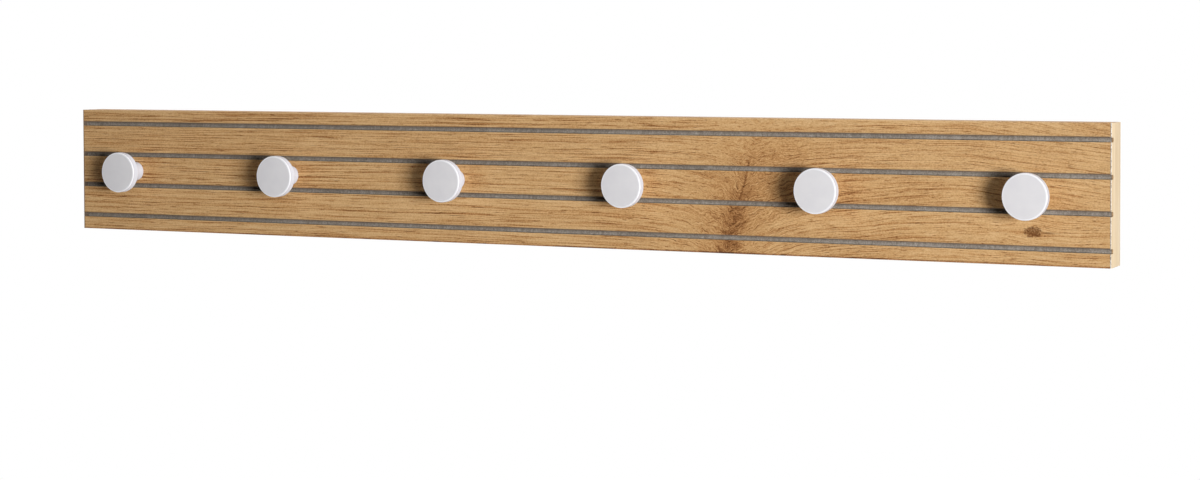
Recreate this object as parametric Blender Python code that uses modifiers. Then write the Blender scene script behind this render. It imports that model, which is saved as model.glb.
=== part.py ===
"""Wall coat hook rail: a grooved oak-veneered board with a row of turned white knobs.

Metres, +Z up. The origin is the centre of the board's back face, which lies on the wall.
X runs along the rail, and the front of the rail faces -Y.
"""
import math

import bmesh
import bpy

# Board
RAIL_LENGTH = 0.800
RAIL_HEIGHT = 0.090
CORE_THICKNESS = 0.0190
VENEER_THICKNESS = 0.0008
BACK_SHEET_THICKNESS = 0.0006
BAND_THICKNESS = 0.0008
BAND_EDGE_RADIUS = 0.0004

# Grooves along the front, measured from the veneer's face. They run out at the right end only.
GROOVE_COUNT = 4
GROOVE_WIDTH = 0.0030
GROOVE_DEPTH = 0.0034
GROOVE_CORNER_RADIUS = 0.0010
EDGE_SLAT_HEIGHT = 0.0090

# Knobs, measured from the base that stands on the veneer
KNOB_COUNT = 6
KNOB_END_MARGIN = 0.050
KNOB_DROP = 0.0006
KNOB_DIAMETER = 0.0295
KNOB_LENGTH = 0.0202
KNOB_RIM_WIDTH = 0.0056
KNOB_FACE_RADIUS = 0.0006
KNOB_BACK_RADIUS = 0.0008
KNOB_NECK_DIAMETER = 0.0120
KNOB_NECK_HEIGHT = 0.0062
KNOB_BASE_DIAMETER = 0.0138
KNOB_BASE_LIP = 0.0010

# Pan-head screws that hold the knobs from behind
KNOB_SCREW_DIAMETER = 0.0040
KNOB_SCREW_GRIP = 0.0110
KNOB_SCREW_HEAD_DIAMETER = 0.0080
KNOB_SCREW_HEAD_HEIGHT = 0.0027
KNOB_SCREW_HEAD_RADIUS = 0.0016
COUNTERBORE_DEPTH = 0.0070

# Keyhole plates let into the back, one between the two outer knobs at each end
PLATE_WIDTH = 0.020
PLATE_HEIGHT = 0.056
PLATE_THICKNESS = 0.0015
PLATE_SINK = 0.0003
PLATE_TOP_MARGIN = 0.012
KEYHOLE_ENTRY_DIAMETER = 0.010
KEYHOLE_SLOT_WIDTH = 0.005
KEYHOLE_TRAVEL = 0.011
POCKET_WIDTH = 0.014
POCKET_DEPTH = 0.008

# Countersunk screws that hold the plates
PLATE_SCREW_DIAMETER = 0.0028
PLATE_SCREW_LENGTH = 0.010
PLATE_SCREW_HEAD_DIAMETER = 0.0058
PLATE_SCREW_TIP_LENGTH = 0.0025
PLATE_SCREW_END_MARGIN = 0.0065

# Gap kept between faces that touch or are glued, and between a screw and its hole
CONTACT_GAP = 0.0003
# How far a cutter runs past the face that it cuts
OVERCUT = 0.002

# Facets
KNOB_STEPS = 32
KNOB_FACE_STEPS = 3
KNOB_COVE_STEPS = 5
KNOB_FLARE_STEPS = 2
SCREW_STEPS = 16
HOLE_POINTS = 16
CORNER_STEPS = 2

# Most of a wall that a rounded corner may take, and the distance below which points are one
FILLET_SHARE = 0.45
WELD_DISTANCE = 1e-6

# Planes of the board's layers, from the wall forwards
SHEET_FRONT = -BACK_SHEET_THICKNESS
CORE_BACK = SHEET_FRONT - CONTACT_GAP
CORE_FRONT = CORE_BACK - CORE_THICKNESS
VENEER_BACK = CORE_FRONT - CONTACT_GAP
RAIL_FRONT = VENEER_BACK - VENEER_THICKNESS
GROOVE_FLOOR = RAIL_FRONT + GROOVE_DEPTH

# What the bands leave of the length and height for the layers between them
BAND_ALLOWANCE = BAND_THICKNESS + CONTACT_GAP
INNER_LENGTH = RAIL_LENGTH - 2 * BAND_ALLOWANCE
INNER_HEIGHT = RAIL_HEIGHT - 2 * BAND_ALLOWANCE

# Places of the grooves, slats, knobs and plates
GROOVE_SPAN = RAIL_HEIGHT - 2 * EDGE_SLAT_HEIGHT - GROOVE_WIDTH
GROOVE_PITCH = GROOVE_SPAN / (GROOVE_COUNT - 1)
GROOVE_CENTRES = [GROOVE_SPAN / 2 - i * GROOVE_PITCH for i in range(GROOVE_COUNT)]
KNOB_SPAN = RAIL_LENGTH - 2 * KNOB_END_MARGIN
KNOB_PITCH = KNOB_SPAN / (KNOB_COUNT - 1)
KNOB_PLACES = [i * KNOB_PITCH - KNOB_SPAN / 2 for i in range(KNOB_COUNT)]
KNOB_AXIS_HEIGHT = -KNOB_DROP
KNOB_SEAT = RAIL_FRONT - CONTACT_GAP
PLATE_PLACE = (KNOB_SPAN - KNOB_PITCH) / 2
PLATE_CENTRE_HEIGHT = RAIL_HEIGHT / 2 - PLATE_TOP_MARGIN - PLATE_HEIGHT / 2
PLATE_BACK = -PLATE_SINK
PLATE_FRONT = PLATE_BACK - PLATE_THICKNESS
PLATE_SEAT = PLATE_FRONT - CONTACT_GAP
PLATE_SCREW_OFFSET = PLATE_HEIGHT / 2 - PLATE_SCREW_END_MARGIN

# Holes that follow from the screws
KNOB_BORE_RADIUS = KNOB_SCREW_DIAMETER / 2 + CONTACT_GAP
COUNTERBORE_RADIUS = KNOB_SCREW_HEAD_DIAMETER / 2 + CONTACT_GAP
HEAD_SEAT = -COUNTERBORE_DEPTH
KNOB_SCREW_LENGTH = HEAD_SEAT + CONTACT_GAP - KNOB_SEAT + KNOB_SCREW_GRIP

# Local Z of a turned or flat piece points forwards, backwards or along the rail
FACING_FRONT = (math.pi / 2, 0, 0)
FACING_WALL = (-math.pi / 2, 0, 0)
ALONG_RAIL = (math.pi / 2, 0, math.pi / 2)

for old_object in list(bpy.data.objects):
    bpy.data.objects.remove(old_object, do_unlink=True)

parts = bpy.data.collections.new("wall_coat_hook_rail")
cutters = bpy.data.collections.new("rail_cutters")
bpy.context.scene.collection.children.link(parts)
bpy.context.scene.collection.children.link(cutters)

rail_origin = bpy.data.objects.new("rail_origin", None)
parts.objects.link(rail_origin)


def make_material(name, colour, roughness, metallic=0.0):
    material = bpy.data.materials.new(name)
    material.use_nodes = True
    shader = material.node_tree.nodes["Principled BSDF"]
    shader.inputs["Base Color"].default_value = (*colour, 1.0)
    shader.inputs["Roughness"].default_value = roughness
    shader.inputs["Metallic"].default_value = metallic
    return material


OAK = make_material("oak_veneer", (0.51, 0.30, 0.13), 0.50)
PALE_OAK = make_material("pale_oak_band", (0.78, 0.62, 0.42), 0.50)
GREY_CORE = make_material("grey_fibreboard", (0.22, 0.19, 0.16), 0.85)
BACK_PAPER = make_material("back_sheet_paper", (0.55, 0.50, 0.43), 0.70)
WHITE_LACQUER = make_material("white_lacquer", (0.80, 0.79, 0.80), 0.35)
ZINC = make_material("zinc_plated_steel", (0.62, 0.62, 0.60), 0.35, 1.0)


def finish_part(part, material):
    """Gives a piece its material and hangs it on the rail's origin."""
    part.data.materials.append(material)
    part.parent = rail_origin
    return part


def finish_cutter(cutter):
    """Marks an object as a cutter: never rendered, drawn as wire."""
    cutter.hide_render = True
    cutter.display_type = "WIRE"
    return cutter


def cut(part, cutter):
    """Takes the cutter's volume out of the piece."""
    modifier = part.modifiers.new("cut_" + cutter.name, "BOOLEAN")
    modifier.operation = "DIFFERENCE"
    modifier.object = cutter


def arc(centre, radius, start, end, steps):
    """Points on an arc between two angles in degrees, both ends included."""
    angles = [math.radians(start + (end - start) * i / steps) for i in range(steps + 1)]
    return [(centre[0] + radius * math.cos(a), centre[1] + radius * math.sin(a)) for a in angles]


def rectangle(left, right, bottom, top):
    return [(left, bottom), (right, bottom), (right, top), (left, top)]


def circle(centre, radius):
    return arc(centre, radius, 0, 360, HOLE_POINTS)[:-1]


def obround(centre, width, height):
    """An upright slot outline with round ends."""
    x, y = centre
    rise = (height - width) / 2
    upper = arc((x, y + rise), width / 2, 0, 180, HOLE_POINTS // 2)
    lower = arc((x, y - rise), width / 2, 180, 360, HOLE_POINTS // 2)
    return upper + lower


def keyhole(centre):
    """A round entry with a narrower slot above it, for a screw head that drops in and slides up."""
    x, y = centre
    entry_radius = KEYHOLE_ENTRY_DIAMETER / 2
    slot_radius = KEYHOLE_SLOT_WIDTH / 2
    mouth = math.degrees(math.asin(slot_radius / entry_radius))
    entry_centre = (x, y - KEYHOLE_TRAVEL / 2)
    slot_end = (x, y + KEYHOLE_TRAVEL / 2)
    entry = arc(entry_centre, entry_radius, 90 + mouth, 450 - mouth, HOLE_POINTS)
    return entry + arc(slot_end, slot_radius, 0, 180, HOLE_POINTS // 2)


def rounded_band_section(back, front, inner, outer):
    """The section of a long edge band, with its two outer edges rounded."""
    away = 1 if outer > inner else -1
    radius = min(BAND_EDGE_RADIUS, abs(outer - inner) / 2)
    shoulder = outer - away * radius
    rear = arc((back - radius, shoulder), radius, 0, away * 90, CORNER_STEPS)
    fore = arc((front + radius, shoulder), radius, away * 90, away * 180, CORNER_STEPS)
    return [(back, inner)] + rear + fore + [(front, inner)]


def grooved_section(back, front, floor, half_height):
    """A section of the board as (Y, Z) points, its front side cut to a floor at each groove."""
    radius = min(GROOVE_CORNER_RADIUS, FILLET_SHARE * GROOVE_WIDTH, FILLET_SHARE * (floor - front))
    outline = [(back, -half_height), (back, half_height), (front, half_height)]
    for height in GROOVE_CENTRES:
        upper_lip = height + GROOVE_WIDTH / 2
        lower_lip = height - GROOVE_WIDTH / 2
        outline.append((front, upper_lip))
        outline += arc((floor - radius, upper_lip - radius), radius, 90, 0, CORNER_STEPS)
        outline += arc((floor - radius, lower_lip + radius), radius, 0, -90, CORNER_STEPS)
        outline.append((front, lower_lip))
    outline.append((front, -half_height))
    return outline


def flat_solid(name, loops, thickness, collection):
    """A plate from one outer outline and any holes in it, centred on its own mid plane."""
    curve = bpy.data.curves.new(name + "_outline", "CURVE")
    curve.dimensions = "2D"
    curve.fill_mode = "BOTH"
    curve.extrude = thickness / 2
    for loop in loops:
        spline = curve.splines.new("POLY")
        spline.points.add(len(loop) - 1)
        for point, (x, y) in zip(spline.points, loop):
            point.co = (x, y, 0.0, 1.0)
        spline.use_cyclic_u = True
    outline = bpy.data.objects.new(name + "_outline", curve)
    collection.objects.link(outline)
    depsgraph = bpy.context.evaluated_depsgraph_get()
    mesh = bpy.data.meshes.new_from_object(outline.evaluated_get(depsgraph))
    bpy.data.objects.remove(outline, do_unlink=True)
    bpy.data.curves.remove(curve)
    mesh.name = name
    welded = bmesh.new()
    welded.from_mesh(mesh)
    bmesh.ops.remove_doubles(welded, verts=welded.verts, dist=WELD_DISTANCE)
    bmesh.ops.recalc_face_normals(welded, faces=welded.faces)
    welded.to_mesh(mesh)
    welded.free()
    solid = bpy.data.objects.new(name, mesh)
    collection.objects.link(solid)
    return solid


def turned_solid(name, profile, steps, collection):
    """A solid of revolution about local Z. The profile runs down its outer side, top to bottom."""
    mesh = bpy.data.meshes.new(name)
    points = [(radius, 0.0, height) for radius, height in profile]
    edges = [(i, i + 1) for i in range(len(points) - 1)]
    mesh.from_pydata(points, edges, [])
    solid = bpy.data.objects.new(name, mesh)
    collection.objects.link(solid)
    screw = solid.modifiers.new("turn", "SCREW")
    screw.axis = "Z"
    screw.steps = steps
    screw.render_steps = steps
    screw.use_merge_vertices = True
    screw.merge_threshold = WELD_DISTANCE
    screw.use_smooth_shade = True
    return solid


def place(item, location, facing):
    item.location = location
    item.rotation_euler = facing
    return item


def layer(name, loops, back, front):
    """A flat piece of the board lying between two planes, its outline given as (X, Z)."""
    solid = flat_solid(name, loops, back - front, parts)
    return place(solid, (0.0, (back + front) / 2, 0.0), FACING_FRONT)


def make_core_board():
    section = grooved_section(CORE_BACK, CORE_FRONT, GROOVE_FLOOR, INNER_HEIGHT / 2)
    core = flat_solid("core_board", [section], INNER_LENGTH, parts)
    place(core, (0.0, 0.0, 0.0), ALONG_RAIL)
    return finish_part(core, GREY_CORE)


def make_front_veneers():
    """The oak strips that the grooves leave, numbered from the top."""
    tops = [INNER_HEIGHT / 2] + [z - GROOVE_WIDTH / 2 for z in GROOVE_CENTRES]
    bottoms = [z + GROOVE_WIDTH / 2 for z in GROOVE_CENTRES] + [-INNER_HEIGHT / 2]
    for number, (top, bottom) in enumerate(zip(tops, bottoms), start=1):
        loops = [rectangle(-INNER_LENGTH / 2, INNER_LENGTH / 2, bottom, top)]
        if bottom < KNOB_AXIS_HEIGHT < top:
            loops += [circle((x, KNOB_AXIS_HEIGHT), KNOB_BORE_RADIUS) for x in KNOB_PLACES]
        finish_part(layer(f"front_veneer_{number}", loops, VENEER_BACK, RAIL_FRONT), OAK)


def recess_outline(x):
    """The outline let into the back for a keyhole plate."""
    centre = (x, PLATE_CENTRE_HEIGHT)
    return obround(centre, PLATE_WIDTH + 2 * CONTACT_GAP, PLATE_HEIGHT + 2 * CONTACT_GAP)


def make_back_sheet():
    loops = [rectangle(-INNER_LENGTH / 2, INNER_LENGTH / 2, -INNER_HEIGHT / 2, INNER_HEIGHT / 2)]
    loops += [circle((x, KNOB_AXIS_HEIGHT), COUNTERBORE_RADIUS) for x in KNOB_PLACES]
    loops += [recess_outline(x) for x in (-PLATE_PLACE, PLATE_PLACE)]
    finish_part(layer("back_sheet", loops, 0.0, SHEET_FRONT), BACK_PAPER)


def make_end_band(name, side, section):
    """A band across one end of the board, rounded round its outer face but not inside a groove."""
    band = flat_solid(name, [section], BAND_THICKNESS, parts)
    mesh = band.data
    outer = {v.index for v in mesh.vertices if side * v.co.z > 0}
    other_faces = [face for face in mesh.polygons if not outer.issuperset(face.vertices)]
    rim = {key for face in other_faces for key in face.edge_keys if outer.issuperset(key)}
    in_groove = {v.index for v in mesh.vertices if RAIL_FRONT + WELD_DISTANCE < v.co.x < -WELD_DISTANCE}
    weights = mesh.attributes.new("bevel_weight_edge", "FLOAT", "EDGE")
    for edge in mesh.edges:
        rounded = edge.key in rim and in_groove.isdisjoint(edge.vertices)
        weights.data[edge.index].value = 1.0 if rounded else 0.0
    rounding = band.modifiers.new("rounding", "BEVEL")
    rounding.limit_method = "WEIGHT"
    rounding.width = min(BAND_EDGE_RADIUS, BAND_THICKNESS / 2)
    rounding.segments = CORNER_STEPS
    place(band, (side * (RAIL_LENGTH - BAND_THICKNESS) / 2, 0.0, 0.0), ALONG_RAIL)
    finish_part(band, PALE_OAK)


def make_end_bands():
    """The left band closes the grooves, and the right one is cut with them."""
    closed = rectangle(RAIL_FRONT, 0.0, -RAIL_HEIGHT / 2, RAIL_HEIGHT / 2)
    make_end_band("end_band_left", -1, closed)
    cut_through = grooved_section(0.0, RAIL_FRONT, GROOVE_FLOOR, RAIL_HEIGHT / 2)
    make_end_band("end_band_right", 1, cut_through)


def make_edge_band(name, side):
    """A band along the top or bottom edge, between the two end bands."""
    inner = side * (RAIL_HEIGHT / 2 - BAND_THICKNESS)
    section = rounded_band_section(0.0, RAIL_FRONT, inner, side * RAIL_HEIGHT / 2)
    band = flat_solid(name, [section], INNER_LENGTH, parts)
    place(band, (0.0, 0.0, 0.0), ALONG_RAIL)
    finish_part(band, OAK)


def knob_profile():
    """Half the knob's section as (radius, height): face, rim, coved back, neck, base, screw hole."""
    radius = KNOB_DIAMETER / 2
    neck = KNOB_NECK_DIAMETER / 2
    base = KNOB_BASE_DIAMETER / 2
    back = KNOB_LENGTH - KNOB_RIM_WIDTH
    hole_top = KNOB_SCREW_GRIP + 2 * CONTACT_GAP
    face_centre = (radius - KNOB_FACE_RADIUS, KNOB_LENGTH - KNOB_FACE_RADIUS)
    back_centre = (radius - KNOB_BACK_RADIUS, back + KNOB_BACK_RADIUS)
    profile = [(0.0, KNOB_LENGTH)]
    profile += arc(face_centre, KNOB_FACE_RADIUS, 90, 0, KNOB_FACE_STEPS)
    profile += arc(back_centre, KNOB_BACK_RADIUS, 0, -90, CORNER_STEPS)
    cove_width = back_centre[0] - neck
    cove_height = back - KNOB_NECK_HEIGHT
    for i in range(1, KNOB_COVE_STEPS + 1):
        turn = math.radians(90 * i / KNOB_COVE_STEPS)
        across = back_centre[0] - cove_width * math.sin(turn)
        profile.append((across, back - cove_height * (1 - math.cos(turn))))
    for i in range(1, KNOB_FLARE_STEPS + 1):
        share = i / KNOB_FLARE_STEPS
        flare = neck + (base - neck) * share ** 2
        profile.append((flare, KNOB_NECK_HEIGHT + (KNOB_BASE_LIP - KNOB_NECK_HEIGHT) * share))
    profile += [(base, 0.0), (KNOB_BORE_RADIUS, 0.0), (KNOB_BORE_RADIUS, hole_top), (0.0, hole_top)]
    return profile


def pan_head_profile():
    """A pan-head screw, its head's underside at height 0 and its shank below."""
    head = KNOB_SCREW_HEAD_DIAMETER / 2
    shank = KNOB_SCREW_DIAMETER / 2
    crown = KNOB_SCREW_HEAD_HEIGHT
    radius = min(KNOB_SCREW_HEAD_RADIUS, crown, head - shank)
    point = shank / 2
    rounded_top = arc((head - radius, crown - radius), radius, 90, 0, CORNER_STEPS)
    return [
        (0.0, crown),
        *rounded_top,
        (head, 0.0),
        (shank, 0.0),
        (shank, point - KNOB_SCREW_LENGTH),
        (shank - point, -KNOB_SCREW_LENGTH),
        (0.0, -KNOB_SCREW_LENGTH),
    ]


def stepped_bore_profile():
    """The hole for a knob's screw: a wide bore from the back, then the shank's bore to the front."""
    top = OVERCUT - HEAD_SEAT
    bottom = RAIL_FRONT - OVERCUT - HEAD_SEAT
    return [
        (0.0, top),
        (COUNTERBORE_RADIUS, top),
        (COUNTERBORE_RADIUS, 0.0),
        (KNOB_BORE_RADIUS, 0.0),
        (KNOB_BORE_RADIUS, bottom),
        (0.0, bottom),
    ]


def make_knobs(core):
    """The knobs with their screws, and the bores that the screws need in the core."""
    for number, x in enumerate(KNOB_PLACES, start=1):
        knob = turned_solid(f"knob_{number}", knob_profile(), KNOB_STEPS, parts)
        place(knob, (x, KNOB_SEAT, KNOB_AXIS_HEIGHT), FACING_FRONT)
        finish_part(knob, WHITE_LACQUER)
        screw = turned_solid(f"knob_screw_{number}", pan_head_profile(), SCREW_STEPS, parts)
        place(screw, (x, HEAD_SEAT + CONTACT_GAP, KNOB_AXIS_HEIGHT), FACING_WALL)
        finish_part(screw, ZINC)
        bore = turned_solid(f"bore_{number}", stepped_bore_profile(), HOLE_POINTS, cutters)
        place(bore, (x, HEAD_SEAT, KNOB_AXIS_HEIGHT), FACING_WALL)
        cut(core, finish_cutter(bore))


def countersunk_profile(grow, head_top, end):
    """A countersunk screw with its head's flat at height 0, or a hole for one: its cone runs on up."""
    head = PLATE_SCREW_HEAD_DIAMETER / 2 + grow
    shank = PLATE_SCREW_DIAMETER / 2 + grow
    tip = min(PLATE_SCREW_TIP_LENGTH, PLATE_SCREW_LENGTH / 2)
    return [
        (0.0, head_top),
        (head + head_top, head_top),
        (shank, shank - head),
        (shank, tip - end),
        (0.0, -end),
    ]


def make_keyhole_plate(side, core):
    """A keyhole plate with its two screws, and the recess, pocket and holes for them."""
    name = "left" if side < 0 else "right"
    x = side * PLATE_PLACE
    centre = (x, PLATE_CENTRE_HEIGHT)
    outline = obround(centre, PLATE_WIDTH, PLATE_HEIGHT)
    plate = layer(f"keyhole_plate_{name}", [outline, keyhole(centre)], PLATE_BACK, PLATE_FRONT)
    finish_part(plate, ZINC)

    recess_depth = OVERCUT - PLATE_SEAT
    recess = flat_solid(f"recess_{name}", [recess_outline(x)], recess_depth, cutters)
    place(recess, (0.0, OVERCUT - recess_depth / 2, 0.0), FACING_FRONT)
    cut(core, finish_cutter(recess))

    pocket_outline = obround(centre, POCKET_WIDTH, POCKET_WIDTH + KEYHOLE_TRAVEL)
    pocket = flat_solid(f"pocket_{name}", [pocket_outline], POCKET_DEPTH + OVERCUT, cutters)
    place(pocket, (0.0, PLATE_SEAT + (OVERCUT - POCKET_DEPTH) / 2, 0.0), FACING_FRONT)
    cut(core, finish_cutter(pocket))

    hole_end = PLATE_SCREW_LENGTH + 2 * CONTACT_GAP
    for level, offset in (("upper", PLATE_SCREW_OFFSET), ("lower", -PLATE_SCREW_OFFSET)):
        seat = (x, PLATE_BACK, PLATE_CENTRE_HEIGHT + offset)
        screw_profile = countersunk_profile(0.0, 0.0, PLATE_SCREW_LENGTH)
        screw = turned_solid(f"plate_screw_{name}_{level}", screw_profile, SCREW_STEPS, parts)
        finish_part(place(screw, seat, FACING_WALL), ZINC)
        hole_profile = countersunk_profile(CONTACT_GAP, OVERCUT, hole_end)
        hole = turned_solid(f"screw_hole_{name}_{level}", hole_profile, HOLE_POINTS, cutters)
        finish_cutter(place(hole, seat, FACING_WALL))
        cut(plate, hole)
        cut(core, hole)


core_board = make_core_board()
make_front_veneers()
make_back_sheet()
make_end_bands()
make_edge_band("edge_band_top", 1)
make_edge_band("edge_band_bottom", -1)
make_knobs(core_board)
make_keyhole_plate(-1, core_board)
make_keyhole_plate(1, core_board)
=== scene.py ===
"""Looks of a wall coat hook rail: oak strips over a grey core, pale end bands and turned white knobs."""
import math
import random

import bmesh
import bpy
from mathutils import Matrix, Vector


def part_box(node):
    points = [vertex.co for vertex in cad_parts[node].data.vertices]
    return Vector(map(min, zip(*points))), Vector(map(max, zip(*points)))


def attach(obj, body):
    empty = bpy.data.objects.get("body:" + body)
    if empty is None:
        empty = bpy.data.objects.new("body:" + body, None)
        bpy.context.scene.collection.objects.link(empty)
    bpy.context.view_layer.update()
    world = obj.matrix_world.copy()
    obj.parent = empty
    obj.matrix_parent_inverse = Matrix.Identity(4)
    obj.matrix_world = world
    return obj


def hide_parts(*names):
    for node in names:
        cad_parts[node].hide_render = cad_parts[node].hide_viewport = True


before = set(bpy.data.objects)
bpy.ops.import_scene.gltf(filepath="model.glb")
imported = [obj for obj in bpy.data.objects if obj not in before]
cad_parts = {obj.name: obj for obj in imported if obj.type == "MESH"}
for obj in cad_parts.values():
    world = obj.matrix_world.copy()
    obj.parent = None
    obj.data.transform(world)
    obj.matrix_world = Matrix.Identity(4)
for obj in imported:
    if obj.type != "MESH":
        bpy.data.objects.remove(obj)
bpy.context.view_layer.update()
scene = bpy.context.scene


def low(node):
    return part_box(node)[0]


def high(node):
    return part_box(node)[1]


def axis_of(node):
    """X and Z of a node's middle."""
    corner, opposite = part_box(node)
    return (corner.x + opposite.x) / 2, (corner.z + opposite.z) / 2


def half_width(node):
    """Half of a node's length along the rail, which is the radius of a round one."""
    corner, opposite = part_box(node)
    return (opposite.x - corner.x) / 2


# Planes and edges of the board, read from the frame, in metres
BOARD_LEFT = low("end_band_left").x
BOARD_RIGHT = high("end_band_right").x
BOARD_BOTTOM = low("end_band_left").z
BOARD_TOP = high("end_band_left").z
CORE_FRONT = low("core_board").y
CORE_BACK = high("core_board").y
INNER_LEFT = low("core_board").x
INNER_RIGHT = high("core_board").x
INNER_BOTTOM = low("core_board").z
INNER_TOP = high("core_board").z

# Oak strips from the top, each with its bottom and top, and the one that the knobs stand on
STRIP_COUNT = 5
KNOB_STRIP = 3
STRIPS = [(low(f"front_veneer_{i}").z, high(f"front_veneer_{i}").z) for i in range(1, STRIP_COUNT + 1)]
FRONT_Y = low(f"front_veneer_{KNOB_STRIP}").y
GROOVE_PITCH = STRIPS[1][0] - STRIPS[2][0]

# Knobs and keyhole plates
KNOB_COUNT = 6
KNOB_NUMBERS = range(1, KNOB_COUNT + 1)
KNOB_PITCH = low("knob_2").x - low("knob_1").x
KNOB_FACE_Y = low("knob_1").y
PLATE_SIDES = ("left", "right")
PLATE_SCREW_LEVELS = ("upper", "lower")

# Sizes of the solids that their boxes don't give
GROOVE_DEPTH = 0.0034
GROOVE_CORNER = 0.0010
BAND_ROUNDING = 0.0004
KNOB_RIM_WIDTH = 0.0056
KNOB_FACE_RADIUS = 0.0006
KNOB_BACK_RADIUS = 0.0008
KNOB_NECK_RADIUS = 0.0060
KNOB_NECK_HEIGHT = 0.0062
KNOB_BASE_RADIUS = 0.0069
KNOB_BASE_LIP = 0.0010
KNOB_SCREW_HEAD_HEIGHT = 0.0027
KNOB_SCREW_HEAD_ROUNDING = 0.0016
KNOB_SCREW_SHANK_RADIUS = 0.0020
CLEARANCE = 0.0003
KEYHOLE_ENTRY_RADIUS = 0.0050
KEYHOLE_SLOT_RADIUS = 0.0025
KEYHOLE_TRAVEL = 0.0110
POCKET_RADIUS = 0.0070
POCKET_DEPTH = 0.0080
PLATE_SCREW_HEAD_RADIUS = 0.0029
PLATE_SCREW_SHANK_RADIUS = 0.0014
PLATE_SCREW_TIP = 0.0025

# Fine shape that only the looks have
GLUE_LINE = 0.00002
HAIRLINE = 0.0002
STRIP_LIP = 0.00018
STRIP_STATION = 0.004
LIP_WANDER = 0.00007
METAL_EDGE = 0.00022

# Cross recesses of the screws: reach and depth on each kind, a bar's width as a share of its reach,
# and the shares of its length and width that are left at its bottom
KNOB_SCREW_RECESS = (0.0022, 0.00162)
PLATE_SCREW_RECESS = (0.00174, 0.0011)
RECESS_BAR_WIDTH = 0.42
RECESS_BOTTOM_LENGTH = 0.35
RECESS_BOTTOM_WIDTH = 0.6

# Facets
LIP_STEPS = 3
CORNER_STEPS = 6
BAND_EDGE_STEPS = 4
METAL_EDGE_STEPS = 3
KNOB_FACE_STEPS = 8
KNOB_COVE_STEPS = 20
KNOB_FLARE_STEPS = 10
KNOB_SEGMENTS = 128
SCREW_SEGMENTS = 40
HOLE_SEGMENTS = 48
FLOOR_SEGMENTS = 96

# Angles in degrees above which a metal edge, and a band's rim, is rounded
SQUARE_EDGE = 75
BAND_RIM = 45

# How far a cutter runs past a face, and the distances at which points lie on a plane or are one
OVERCUT = 0.002
NEAR = 0.00001
SAME_POINT = 0.000002

# Directions of turned pieces, and turns of flat ones
FORWARDS = (0, -1, 0)
BACKWARDS = (0, 1, 0)
FACING_FRONT = Matrix.Rotation(math.pi / 2, 4, "X")
ALONG_RAIL = Matrix.Rotation(math.pi / 2, 4, "Z") @ FACING_FRONT


# Shapes


def arc(centre, radius, start, end, steps):
    """Points on an arc between two angles in degrees, both ends included."""
    angles = [math.radians(start + (end - start) * i / steps) for i in range(steps + 1)]
    return [(centre[0] + radius * math.cos(a), centre[1] + radius * math.sin(a)) for a in angles]


def circle(x, z, radius):
    return arc((x, z), radius, 0, 360, HOLE_SEGMENTS)[:-1]


def obround(x, z, radius, rise):
    """An upright slot outline, rise above and below its centre to the centres of its round ends."""
    half = HOLE_SEGMENTS // 2
    return arc((x, z + rise), radius, 0, 180, half) + arc((x, z - rise), radius, 180, 360, half)


def keyhole(x, z):
    """A round entry with a narrower slot above it."""
    mouth = math.degrees(math.asin(KEYHOLE_SLOT_RADIUS / KEYHOLE_ENTRY_RADIUS))
    entry_centre = (x, z - KEYHOLE_TRAVEL / 2)
    slot_end = (x, z + KEYHOLE_TRAVEL / 2)
    entry = arc(entry_centre, KEYHOLE_ENTRY_RADIUS, 90 + mouth, 450 - mouth, HOLE_SEGMENTS)
    return entry + arc(slot_end, KEYHOLE_SLOT_RADIUS, 0, 180, HOLE_SEGMENTS // 2)


def shade_round(mesh, sharp_above=35):
    """Smooth shading, broken where faces meet at more than an angle in degrees."""
    mesh.shade_smooth()
    mesh.set_sharp_from_angle(angle=math.radians(sharp_above))


def mesh_from(name, solid):
    """Turns a finished bmesh into a mesh, its faces outward."""
    bmesh.ops.recalc_face_normals(solid, faces=solid.faces)
    mesh = bpy.data.meshes.new(name)
    solid.to_mesh(mesh)
    solid.free()
    return mesh


def skin(solid, rows):
    """Faces between rings of points, of which one at an end may be a single point."""
    count = max(len(row) for row in rows)
    for row, following in zip(rows, rows[1:]):
        for i in range(count):
            j = (i + 1) % count
            corners = [row[i % len(row)], row[j % len(row)]]
            corners += [following[j % len(following)], following[i % len(following)]]
            solid.faces.new(list(dict.fromkeys(corners)))


def loft(name, rings):
    """A closed solid through a row of rings of points, capped at both ends."""
    solid = bmesh.new()
    rows = [[solid.verts.new(point) for point in ring] for ring in rings]
    skin(solid, rows)
    solid.faces.new(reversed(rows[0]))
    solid.faces.new(rows[-1])
    return mesh_from(name, solid)


def board_length(name, section):
    """A (Y, Z) section drawn out between the two end bands."""
    return loft(name, [[(x, y, z) for y, z in section] for x in (INNER_LEFT, INNER_RIGHT)])


def turned(name, profile, segments, foot, direction):
    """A solid of revolution from (radius, height) points, their heights along direction from foot."""
    axis = Vector(direction)
    side = axis.orthogonal().normalized()
    other = axis.cross(side)
    angles = [2 * math.pi * i / segments for i in range(segments)]
    solid = bmesh.new()
    rows = []
    for radius, height in profile:
        centre = Vector(foot) + axis * height
        ring = [centre + radius * (side * math.cos(a) + other * math.sin(a)) for a in angles]
        rows.append([solid.verts.new(point) for point in (ring if radius else [centre])])
    skin(solid, rows)
    return mesh_from(name, solid)


def clean(mesh):
    """Merges points that lie together, drops faces with no width and turns the rest outward."""
    solid = bmesh.new()
    solid.from_mesh(mesh)
    bmesh.ops.remove_doubles(solid, verts=solid.verts, dist=SAME_POINT)
    bmesh.ops.dissolve_degenerate(solid, edges=solid.edges, dist=SAME_POINT)
    bmesh.ops.recalc_face_normals(solid, faces=solid.faces)
    solid.to_mesh(mesh)
    solid.free()


def evaluated_mesh(item):
    """The mesh that an object's curve or modifiers make."""
    return bpy.data.meshes.new_from_object(item.evaluated_get(bpy.context.evaluated_depsgraph_get()))


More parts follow.
